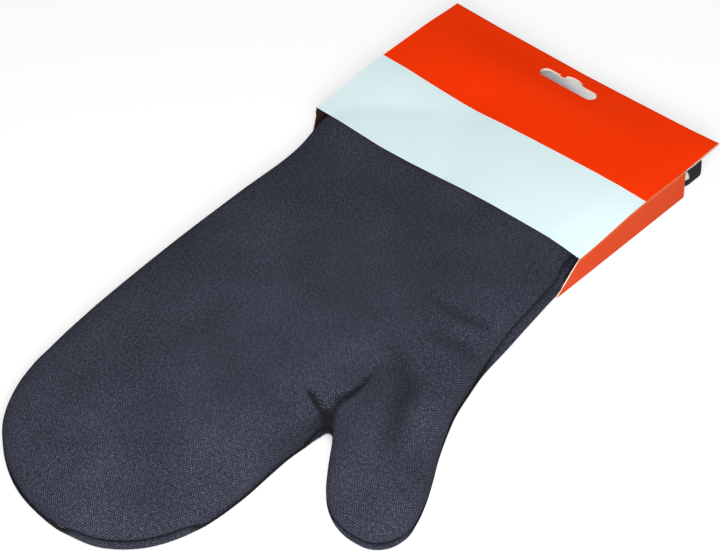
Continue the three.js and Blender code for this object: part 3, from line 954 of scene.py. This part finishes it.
def mottled(name, tones, roughness):
    """Matt stuff without a pattern: two close tones in a fine grain, which breaks the light up a little.

    The fibres of felt, tape and board are too fine to show, so the grain is drawn coarser, at 2.5 mm.
    """
    made, tree = new_material(name)
    place = add(tree, "ShaderNodeTexCoord")
    grain = add(tree, "ShaderNodeTexNoise", None,
                {"Vector": place.outputs["Object"], "Scale": cells(2.5), "Detail": 4})
    tone = add(tree, "ShaderNodeMix", {"data_type": "RGBA"}, {
        "Factor": grain.outputs[0], first_colour: colour(tones[0]), second_colour: colour(tones[1])})
    raised = add(tree, "ShaderNodeBump", None,
                 {"Strength": 0.5, "Distance": 0.05 * MM, "Height": grain.outputs[0]})
    stuff = add(tree, "ShaderNodeBsdfPrincipled", None, {
        "Base Color": tone.outputs[mixed_colour], "Roughness": roughness, "Normal": raised.outputs[0],
    })
    add(tree, "ShaderNodeOutputMaterial", None, {"Surface": stuff.outputs[0]})
    return made


# Slate grey with a blue cast; coarse enough that its rows of threads show; its last tone is the near black of
# the painted shade
canvas_cloth = woven("slate cotton canvas", 1, ("#0c0d15", "#2b2d3b", "#636578", "#030307"), 0.16, 0.9, 0.1)

# Warm off-white, half as coarse as the canvas; its last tone is the painted shade
lining_cloth = woven("pale cotton lining", 0.5, ("#c9c4b6", "#e3dfd3", "#f2efe6", "#a8a294"), 0.15, 0.95, 0.1)

# Cream-coloured and dead matt
felt = mottled("needled cotton felt", ("#dcd6c6", "#efeadd"), 1.0)

# The lining's own colour, where it is rolled over the mouth of the cuff
lining_roll = mottled("rolled cotton lining", ("#ddd8cb", "#efebe0"), 0.95)

# Near black, so that the loop shows only as a dark shape
tape_weave = mottled("dark woven tape", ("#17181d", "#2b2c35"), 0.9)

# Unprinted board: inside painted a dark red-brown as the shade within the sleeve, seen in the slot and under
# the mouth, and on the mouth's cut edge as a painted shadow line; warm white where it is cut
shaded_card_inside = mottled("card inside in painted shade", ("#2c0f0f", "#3a1413"), 0.8)
card_core = mottled("cut card edge", ("#f3d9c6", "#fbeadb"), 0.85)

# Layers of the mitt: node and slot in the frame, outer and inner surface, net pitch, rings, material, fill
layers = {
    "cover": ("canvas", "cover outside", "cover inside", 1.5, ring_shares, canvas_cloth, 0.6),
    "wadding": ("wadding", "wadding outside", "wadding inside", 2.6, ring_shares[::3], felt, 0.5),
    "lining": ("lining", "lining outside", "lining inside", 3, ring_shares[::3], lining_cloth, 0.4),
}

# Creases are broader in the coarser nets under the cover
inner_crease_spread = 2.4


def mitt_layers():
    """Each layer as two closed sheets, palm and back, whose thumbs are pieces of their own."""
    for layer, (node, outer, inner, pitch, rings, material, fill) in layers.items():
        is_cover = layer == "cover"
        spread = 1.0 if is_cover else inner_crease_spread
        for face in ("palm", "back"):
            plan = Plan(face, pitch, rings, refine=is_cover and face == "palm")
            outside = finished_surface(plan, outer, spread)
            inside = finished_surface(plan, inner, spread)
            whole = shell(f"{face}_{layer}", plan, outside, inside)
            print(whole.name, len(whole.data.polygons), "faces")
            whole.data.materials.append(material)
            thumb = split_thumb(whole, f"thumb_{face}_{layer}")
            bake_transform(whole)
            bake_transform(thumb)
            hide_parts(f"hand_{face}_{node}", f"fingers_{face}_{node}")
            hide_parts(f"thumb_{face}_{node}")


mitt_layers()


# Rim and loop
def arc(x, y, radius, start, end, count):
    """Points on an arc round a centre."""
    return [(x + radius * math.cos(t), y + radius * math.sin(t)) for t in np.linspace(start, end, count)]


def even_loop(points, count):
    """A closed line through points, sampled evenly."""
    closed = np.vstack([points, points[:1]])
    steps = np.concatenate([[0], np.cumsum(np.linalg.norm(np.diff(closed, axis=0), axis=1))])
    even = np.linspace(0, steps[-1], count, endpoint=False)
    return np.stack([np.interp(even, steps, closed[:, k]) for k in range(closed.shape[1])], 1)


def band_along(name, path, axis, across, along, power, minor):
    """A closed band: a ring whose section is a rounded shape, led along a closed path.

    Across and along are half sizes of the section, square to the axis and along it. A lower power makes the
    section squarer. The ring is added at any size, and all its points are then placed.
    """
    count = len(path)
    bpy.ops.object.select_all(action="DESELECT")
    bpy.ops.mesh.primitive_torus_add(major_segments=count, minor_segments=minor,
                                     major_radius=60 * MM, minor_radius=2 * MM)
    made = bpy.context.object
    made.name = name
    run = np.roll(path, -1, axis=0) - np.roll(path, 1, axis=0)
    run /= np.linalg.norm(run, axis=1)[:, None]
    out = np.cross(run, axis)
    places = []
    for i in range(count):
        for j in range(minor):
            angle = 2 * math.pi * j / minor
            c, s = math.cos(angle), math.sin(angle)
            c = math.copysign(abs(c) ** power, c)
            s = math.copysign(abs(s) ** power, s)
            places.append(path[i] + out[i] * across * c + np.array(axis) * along * s)
    made.data.vertices.foreach_set("co", (np.array(places) * MM).ravel())
    outward(made)
    bpy.ops.object.shade_smooth()
    return made


card_thickness = 0.5
card_half = (card_high[0] - card_low[0]) / 2

# The rolled rim: half sizes of its section, its room in the card, and how far it lies back at the mouth
rim_half = 2.1
rim_half_depth = 1.7
rim_card_gap = 0.2
rim_setback = 2.4
rim_middle_depth = 1.9
gather_size = 2.6
gather_height = 0.16
gather_slant = 0.6


def cuff_rim():
    """Lining rolled over the mouth of the cuff, a soft round edge with faint gathers."""
    width = card_half - card_thickness - rim_card_gap - rim_half
    samples = 240
    section = []
    for up, crown_height, reach in (
            (1, cuff_crown, palm_edge_reach), (-1, seam_height - cuff_lift, back_edge_reach)):
        x = width * np.cos(np.linspace(0, math.pi, samples)) * up
        share = rise_share(width - np.abs(x), reach)
        z = seam_height + up * share * (crown_height - rim_middle_depth)
        section.append(np.column_stack([x, np.full(samples, rim_low[1] + rim_setback), z]))
    path = even_loop(np.vstack(section), 260)
    rim = band_along("cuff_rim_roll", path, (0, 1, 0), rim_half, rim_half_depth, power=0.85, minor=14)
    for v in rim.data.vertices:
        wave = noise.noise((v.co.x / MM / gather_size, v.co.z / MM / gather_size, 5)) * gather_height
        v.co.z += wave * MM
        v.co.y += wave * gather_slant * MM
    rim.data.materials.append(lining_roll)
    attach(rim, "hand")
    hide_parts("cuff_rim")


# The tape: half its thickness, its room at the root, how far its root reaches behind the rim
tape_half = 0.7
root_clearance = 0.3
root_reach = 1.6
root_corner = 2.6
far_end_reach = 2.0


def hanging_loop():
    """Dark woven tape, on edge, its two ends sewn in behind the rim at the side seam."""
    x1, y0 = loop_high[0] - tape_half - root_clearance, loop_low[1] + tape_half + root_clearance
    x0, y1 = loop_low[0] + tape_half, loop_high[1] - tape_half + far_end_reach
    turn = (y1 - y0) / 2
    quarter = math.pi / 2
    points = arc(x1 - root_corner, y0 + root_corner - root_reach, root_corner, -quarter, 0, 8)
    points += arc(x1 - root_corner, y1 - root_corner, root_corner, 0, quarter, 8)
    points += arc(x0 + turn, y0 + turn, turn, quarter, 3 * quarter, 16)
    middle = (loop_low[2] + loop_high[2]) / 2
    path = even_loop(np.array([(x, y, middle) for x, y in points]), 130)
    half_height = (loop_high[2] - loop_low[2]) / 2
    loop = band_along("tape_loop", path, (0, 0, 1), tape_half, half_height, power=0.45, minor=20)
    loop.data.materials.append(tape_weave)
    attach(loop, "loop")
    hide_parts("hanging_loop")


# Card sleeve: where its front panel, back panel, box and header start and end
card_front_start = cuff_reach - 73
card_back_start = card_low[1]
card_box_end = cuff_reach - 1
boundary_start = cuff_reach - 28.5
flap_end = cuff_reach + 3
card_top = card_high[2]
card_fold = 0.6

# The gussets and the back panel lie back from the mouth on the left, and the back panel at its corners
left_setback = 12.0
corner_setback = 7.0
corner_start = 67.0

# Heights of the front panel over the table at its mouth, at the colour boundary and at the far fold
mouth_line = [(-75, 12.4), (-62, 12.3), (-50, 11.7), (-36, 10.9), (-20, 11.5), (-4, 12.8), (10, 14.0),
              (26, 14.7), (42, 14.8), (57, 14.8), (66, 13.9), (75, 12.6)]
boundary_line = [(-75, 15.2), (-60, 14.9), (-46, 13.9), (-30, 13.1), (-20, 13.0), (-6, 14.0),
                 (10, 14.8), (26, 15.4), (44, 16.0), (60, 16.2), (75, 15.6)]
fold_line = [(-75, 14.4), (-50, 13.7), (0, 13.3), (30, 14.0), (60, 14.9), (75, 15.9)]
box_line_height = 15.3

# The panel can't sink into the cuff: below its least height it lies nearer the mouth instead
least_height = 12.9
least_height_drop = 1.2
least_height_change = (56.0, 74.0)
view_slope = 0.815

# Tests that tell the sheet's parts from each other: a steep face, the mouth's edge, the header, the box
gusset_steepness = 0.7
edge_steepness = 0.6
mouth_edge_depth = 4.0
mouth_edge_height = 9.0
header_depth = 6.0
box_reach = 50.0

# Rows and columns of the card's net, and how close a corner lies to a place that it is on
card_columns = 60
box_rows = 31
header_rows = 12
gusset_rows = 4
back_columns = 20
fold_steps = 8
flap_rows = 8
on_place = 0.01

# Hang slot: half length, width, start past the cuff, offset to the side, and its low round bump
slot_half = 15.4
slot_width = 6.3
slot_start = cuff_reach + 8.4
slot_offset = -0.85
slot_bump_half = 5.4
slot_bump_rise = 2.6
slot_bump_power = 1.4
slot_bump_shift = 0.3


def select_where(made, test):
    """In edit mode, selects the vertices whose place in millimetres passes the test."""
    bpy.ops.mesh.select_mode(type="VERT")
    bpy.ops.mesh.select_all(action="DESELECT")
    bpy.ops.object.mode_set(mode="OBJECT")
    for v in made.data.vertices:
        v.select = bool(test(v.co / MM))
    bpy.ops.object.mode_set(mode="EDIT")


def select_faces(made, test):
    """Goes to edit mode with just the faces selected that pass the test."""
    only(made)
    bpy.ops.object.mode_set(mode="EDIT")
    bpy.ops.mesh.select_mode(type="FACE")
    bpy.ops.mesh.select_all(action="DESELECT")
    bpy.ops.object.mode_set(mode="OBJECT")
    for face in made.data.polygons:
        face.select = bool(test(face))
    bpy.ops.object.mode_set(mode="EDIT")


def extrude(x, y, z):
    """Extrudes what is selected, by millimetres."""
    bpy.ops.mesh.extrude_region_move(TRANSFORM_OT_translate={"value": (x * MM, y * MM, z * MM)})


def folded_sheet():
    """The card as a plain box of one sheet: front panel, gussets, back panel, header doubled under."""
    fold_y = card_high[1] - card_fold
    rows = np.concatenate([
        np.linspace(card_front_start, card_box_end, box_rows),
        np.linspace(card_box_end, fold_y, header_rows)[1:],
    ])
    last_row = len(rows) - 1
    bpy.ops.object.select_all(action="DESELECT")
    bpy.ops.mesh.primitive_grid_add(x_subdivisions=card_columns, y_subdivisions=last_row, size=2)
    sleeve = bpy.context.object
    sleeve.name = "card_sleeve_sheet"
    for v in sleeve.data.vertices:
        row = int(round((v.co.y + 1) / 2 * last_row))
        v.co = Vector((v.co.x * card_half, rows[row], card_top)) * MM
    bpy.ops.object.mode_set(mode="EDIT")
    for level in range(gusset_rows):
        z = card_top * (1 - level / gusset_rows)
        select_where(sleeve, lambda p: abs(abs(p.x) - card_half) < on_place
                     and p.y < card_box_end + on_place and abs(p.z - z) < on_place)
        extrude(0, 0, -card_top / gusset_rows)
    column = 2 * card_half / back_columns
    for step in range(back_columns):
        x = card_half - step * column
        select_where(sleeve, lambda p: abs(p.x - x) < on_place and p.z < on_place)
        extrude(-column, 0, 0)
    select_where(sleeve, lambda p: p.z < on_place)
    bpy.ops.mesh.remove_doubles(threshold=0.05 * MM)
    select_where(sleeve, lambda p: abs(p.y - fold_y) < on_place)
    bpy.ops.mesh.spin(steps=fold_steps, angle=math.pi, axis=(1, 0, 0),
                      center=(0, fold_y * MM, (card_top - card_fold) * MM))
    under = card_top - 2 * card_fold
    flap_row = (fold_y - flap_end) / flap_rows
    for step in range(flap_rows):
        y = fold_y - step * flap_row
        select_where(sleeve, lambda p: abs(p.y - y) < on_place and abs(p.z - under) < on_place)
        extrude(0, -flap_row, 0)
    bpy.ops.object.mode_set(mode="OBJECT")
    return sleeve


def card_height(x, y):
    """Height of the front panel, and how far it lies towards the mouth instead of lower."""
    seen = [np.interp(x, *np.array(line).T) for line in (mouth_line, boundary_line, fold_line)]
    rows = (card_front_start, boundary_start, card_box_end, card_high[1])
    heights = (seen[0], seen[1], box_line_height, seen[2])
    part = float(np.interp(y, rows, range(4)))
    k = min(int(part), 2)
    share = smoothstep(part, k, k + 1)
    height = heights[k] * (1 - share) + heights[k + 1] * share
    held = max(height, least_height - least_height_drop * smoothstep(abs(x), *least_height_change))
    return held, (height - held) * view_slope


def lay_over_cuff(sleeve):
    """Keeps where the print runs and where the folds are, then gives the box its sag and its slants."""
    flat = np.array([v.co for v in sleeve.data.vertices]) / MM
    printed = sleeve.data.attributes.new("printed", "FLOAT", "POINT")
    printed.data.foreach_set("value", flat[:, 1] * MM)
    # Where the folds are, for the gusset's painted highlight
    folded = sleeve.data.attributes.new("folded", "FLOAT", "POINT")
    on_fold = np.abs(np.abs(flat[:, 0]) - card_half) < on_place
    on_fold &= np.abs(flat[:, 2] - card_top) < on_place
    folded.data.foreach_set("value", on_fold & (flat[:, 1] < card_box_end + on_place))
    for v, (x, y, z) in zip(sleeve.data.vertices, flat):
        height, shift = card_height(x, y)
        if y > card_box_end + on_place:
            v.co.z += (height - card_top) * MM
            continue
        low = 1 - z / card_top
        back = card_back_start + left_setback * smoothstep(-x, -card_half, card_half)
        back += corner_setback * (1 - smoothstep(abs(x), corner_start, card_half)) * (z < on_place)
        slant = (card_box_end - back) / (card_box_end - card_front_start)
        y = card_box_end - (card_box_end - y) * (1 + (slant - 1) * low)
        v.co = Vector((x, y + shift * (1 - low), z / card_top * height)) * MM


def face_up(sleeve):
    """Turns the open sheet's faces so that the front panel looks up."""
    outward(sleeve)
    middle = Vector((0, 150, card_top)) * MM
    front = min(sleeve.data.polygons, key=lambda f: (f.center - middle).length)
    if front.normal.z < 0:
        bpy.ops.object.mode_set(mode="EDIT")
        bpy.ops.mesh.select_all(action="SELECT")
        bpy.ops.mesh.flip_normals()
        bpy.ops.object.mode_set(mode="OBJECT")


def slot_outline():
    """The slot in plan: two round ends, and a bump in the side towards the fold."""
    end = slot_width / 2
    run = slot_half - end
    right = [(run + end * math.sin(a), -end * math.cos(a)) for a in np.linspace(0, math.pi, 14)]
    left = [(-x, -y) for x, y in right]
    bump = []
    for a in np.linspace(0, math.pi, 18):
        rise = slot_bump_rise * math.sin(a) ** slot_bump_power
        bump.append((slot_bump_shift + slot_bump_half * math.cos(a), end + rise))
    return np.array(right + bump + left) + (slot_offset, slot_start + end)


def cut_slot(sleeve):
    """Cuts the hang slot through both layers of the header."""
    outline = slot_outline()
    cutter_reach = 8
    bpy.ops.object.select_all(action="DESELECT")
    bpy.ops.mesh.primitive_circle_add(vertices=len(outline), fill_type="NOTHING")
    walls = bpy.context.object
    for v, (x, y) in zip(walls.data.vertices, outline):
        v.co = Vector((x, y, card_top - cutter_reach)) * MM
    bpy.ops.object.mode_set(mode="EDIT")
    bpy.ops.mesh.select_all(action="SELECT")
    extrude(0, 0, 2 * cutter_reach)
    bpy.ops.object.mode_set(mode="OBJECT")
    walls.data.materials.append(bpy.data.materials.new("slot cutter"))
    only(sleeve)
    walls.select_set(True)
    bpy.ops.object.join()
    cutting = len(sleeve.data.materials) - 1
    select_faces(sleeve, lambda f: f.material_index == cutting)
    bpy.ops.mesh.intersect(mode="SELECT_UNSELECT", separate_mode="NONE", solver="EXACT")
    bpy.ops.object.mode_set(mode="OBJECT")
    centres = np.array([f.center for f in sleeve.data.polygons]) / MM
    within = inside_polygon(centres[:, :2], outline) & (centres[:, 2] > card_top - header_depth)
    select_faces(sleeve, lambda f: within[f.index] or f.material_index == cutting)
    bpy.ops.mesh.delete(type="FACE")
    bpy.ops.mesh.select_mode(type="VERT")
    bpy.ops.object.mode_set(mode="OBJECT")
    sleeve.data.materials.pop(index=cutting)


def number_new_corners(sleeve):
    """Gives the slot's corners, which come with 0, their place in the print's run."""
    printed = sleeve.data.attributes["printed"].data
    for i, v in enumerate(sleeve.data.vertices):
        if printed[i].value < box_reach * MM:
            printed[i].value = v.co.y


def card_sleeve():
    """One sheet of card: front panel, gussets and back panel, with the header folded under."""
    sleeve = folded_sheet()
    lay_over_cuff(sleeve)
    face_up(sleeve)
    for material in (card_print, card_gusset, shaded_card_inside, shaded_card_inside, card_core, card_core):
        sleeve.data.materials.append(material)
    # Steep faces take the gusset card, whose lighter orange is painted light
    for face in sleeve.data.polygons:
        face.material_index = 1 if abs(face.normal.x) > gusset_steepness else 0
    cut_slot(sleeve)
    number_new_corners(sleeve)
    only(sleeve)
    thick = sleeve.modifiers.new("card", "SOLIDIFY")
    thick.thickness = card_thickness * MM
    thick.offset = -1
    thick.use_even_offset = True
    thick.use_quality_normals = True
    thick.material_offset = 2
    thick.material_offset_rim = 4
    bpy.ops.object.modifier_apply(modifier=thick.name)
    # The cut edge at the mouth takes the dark inside: a painted shadow line where the card meets the cloth
    for face in sleeve.data.polygons:
        at = face.center / MM
        cut_edge = face.material_index > 3 and face.normal.y < -edge_steepness
        if cut_edge and at.z > mouth_edge_height and at.y < card_front_start + mouth_edge_depth:
            face.material_index = 2
    bpy.ops.object.shade_smooth_by_angle(angle=math.radians(25))
    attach(sleeve, "sleeve")
    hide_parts("card_sleeve")


card_print = printed_card()
card_gusset = gusset_card()
cuff_rim()
hanging_loop()
card_sleeve()


# Stage and light
# A painted shadow on the floor under the header: its middle, and how far it is stretched across and along
shadow_middle = (-24.0, 193.6)
shadow_stretch = (5.0, 12.5)


def white_floor():
    """A white sweep that glows evenly to the camera; an ambient-occlusion shade painted into the glow darkens
    it close to the mitt, and a painted shadow spot darkens it under the header.
    """
    bpy.ops.object.select_all(action="DESELECT")
    bpy.ops.mesh.primitive_plane_add(size=6)
    floor = bpy.context.object
    floor.name = "floor"
    made, tree = new_material("white floor")
    path = add(tree, "ShaderNodeLightPath")
    tone = add(tree, "ShaderNodeMix", {"data_type": "RGBA"}, {
        "Factor": path.outputs["Is Camera Ray"],
        first_colour: colour("#8c8c8c"), second_colour: colour("#f6f6f6")})
    # Painted shade from ambient occlusion near the mitt
    hidden = add(tree, "ShaderNodeAmbientOcclusion", {"samples": 8}, {"Distance": 50 * MM})
    clear = add(tree, "ShaderNodeMapRange", None, {
        "Value": hidden.outputs["AO"],
        "From Min": 0.05, "From Max": 0.26, "To Min": 0.1, "To Max": 0.6})
    paper = add(tree, "ShaderNodeBsdfDiffuse", None, {"Color": tone.outputs[mixed_colour]})
    glow = add(tree, "ShaderNodeEmission", None, {"Color": (1, 1, 1, 1), "Strength": 1.16})
    # Painted shadow spot under the header
    place = add(tree, "ShaderNodeTexCoord")
    moved = [-middle * MM * stretch for middle, stretch in zip(shadow_middle, shadow_stretch)]
    painted_shadow_spot = add(tree, "ShaderNodeMapping", None, {
        "Vector": place.outputs["Object"], "Location": (*moved, 0), "Scale": (*shadow_stretch, 1)})
    away = add(tree, "ShaderNodeVectorMath", {"operation": "LENGTH"}, {0: painted_shadow_spot.outputs[0]})
    under = add(tree, "ShaderNodeMapRange", {"interpolation_type": "SMOOTHSTEP"}, {
        "Value": away.outputs["Value"],
        "From Min": 0.04, "From Max": 0.21, "To Min": 0.0, "To Max": 1})
    open_floor = add(tree, "ShaderNodeMath", {"operation": "MULTIPLY"},
                     {0: clear.outputs[0], 1: under.outputs[0]})
    seen = add(tree, "ShaderNodeMath", {"operation": "MULTIPLY"},
               {0: path.outputs["Is Camera Ray"], 1: open_floor.outputs[0]})
    mix = add(tree, "ShaderNodeMixShader", None,
              {0: seen.outputs[0], 1: paper.outputs[0], 2: glow.outputs[0]})
    add(tree, "ShaderNodeOutputMaterial", None, {"Surface": mix.outputs[0]})
    floor.data.materials.append(made)


def white_room():
    """A white room to the camera that lights the mitt only a little."""
    world = bpy.data.worlds.new("room")
    bpy.context.scene.world = world
    world.use_nodes = True
    world.node_tree.nodes.clear()
    tree = world.node_tree
    path = add(tree, "ShaderNodeLightPath")
    strength = add(tree, "ShaderNodeMix", {"data_type": "FLOAT"},
                   {"Factor": path.outputs["Is Camera Ray"], first_value: 0.19, second_value: 1.0})
    sky = add(tree, "ShaderNodeBackground", None,
              {"Color": (1, 1, 1, 1), "Strength": strength.outputs[0]})
    add(tree, "ShaderNodeOutputWorld", None, {"Surface": sky.outputs[0]})


# Lamps: name, place, size and power in watts
lamps = [
    ("key", (440, -420, 480), 420, 8.8),
    ("fill", (-500, -300, 900), 900, 0.5),
    ("back", (300, 700, 800), 700, 0.5),
]


def round_lamps():
    """Soft round lamps, all aimed at the middle of the palm."""
    for name, place, size, power in lamps:
        data = bpy.data.lights.new(name, "AREA")
        data.shape = "DISK"
        data.size = size * MM
        data.energy = power
        lamp = bpy.data.objects.new(name, data)
        lamp.location = Vector(place) * MM
        lamp.rotation_euler = (-lamp.location).to_track_quat("-Z", "Y").to_euler()
        bpy.context.scene.collection.objects.link(lamp)


white_floor()
white_room()
round_lamps()
bpy.context.scene.view_settings.view_transform = "Standard"
